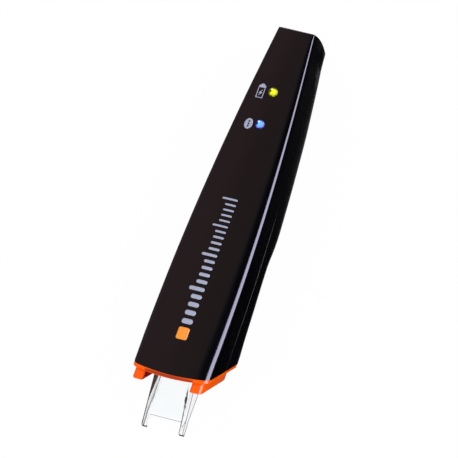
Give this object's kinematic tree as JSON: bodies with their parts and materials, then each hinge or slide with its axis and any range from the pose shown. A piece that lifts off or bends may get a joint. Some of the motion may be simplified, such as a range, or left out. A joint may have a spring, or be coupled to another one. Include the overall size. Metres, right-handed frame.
{
  "type": "scanning pen",
  "caption": "Hand-held scanning pen with a tapered two-part case, slanted nose with two lugs, sprung clear tip with two feet, and two round status windows.",
  "frame": {"origin": "middle of the pen's bounding box on the surface that its back rests on", "axes": "+Y runs from the clear tip to the rear end, +Z out of the printed face, +X to the right seen from the printed face with the tip at the bottom"},
  "size_m": [0.0244, 0.1362, 0.0264],
  "materials": {
    "case_front": "satin",
    "case_back": "satin",
    "nose": "satin",
    "clear_tip": "gloss",
    "inner_plastic": "matte",
    "steel": "satin",
    "circuit": "satin",
    "chip": "matte",
    "lens": "gloss",
    "lamp": "gloss",
    "yellow_window": "gloss",
    "blue_window": "gloss",
    "battery_foil": "satin",
    "foam": "matte",
    "white_plastic": "matte",
    "ribbon": "satin",
    "lead": "satin"
  },
  "bodies": {
    "case": {"upper_shell": "case_front", "lower_shell": "case_back", "nose_bezel": "nose", "upper_spring": "steel", "lower_spring": "steel", "scan_chassis": "inner_plastic", "lamp_board": "circuit", "reading_lamp_left": "lamp", "reading_lamp_right": "lamp", "lens_barrel": "chip", "front_lens": "lens", "rear_lens": "lens", "sensor_board": "circuit", "image_sensor": "chip", "tip_switch": "chip", "main_board": "circuit", "processor_chip": "chip", "memory_chip": "chip", "radio_board": "circuit", "radio_shield": "steel", "charge_window": "yellow_window", "link_window": "blue_window", "charge_lamp": "lamp", "link_lamp": "lamp", "battery_cell": "battery_foil", "battery_pad": "foam", "battery_plug": "white_plastic", "battery_lead_left": "lead", "battery_lead_right": "lead", "board_connector": "white_plastic", "sensor_connector": "white_plastic", "sensor_ribbon": "ribbon", "usb_shell": "steel", "usb_tongue": "chip", "case_screw_front": "steel", "case_screw_rear": "steel", "board_screw_left": "steel", "board_screw_right": "steel", "chassis_screw_left": "steel", "chassis_screw_right": "steel", "sensor_screw_left": "steel", "sensor_screw_right": "steel"},
    "tip": {"light_guide": "clear_tip", "tip_carrier": "inner_plastic"},
    "plunger": {"switch_plunger": "white_plastic"}
  },
  "joints": [
    {"name": "tip_press", "type": "slide", "parent": "case", "child": "tip", "axis": [0, 1, 0], "range_m": [0, 0.0012], "stiffness_N_per_m": 300, "springref_m": -0.002, "deforming": ["upper_spring", "lower_spring"]},
    {"name": "switch_press", "type": "slide", "parent": "case", "child": "plunger", "axis": [0, 1, 0], "range_m": [0, 0.0012]}
  ],
  "couplings": [
    {"joint": "switch_press", "follows": "tip_press", "ratio": 1}
  ]
}
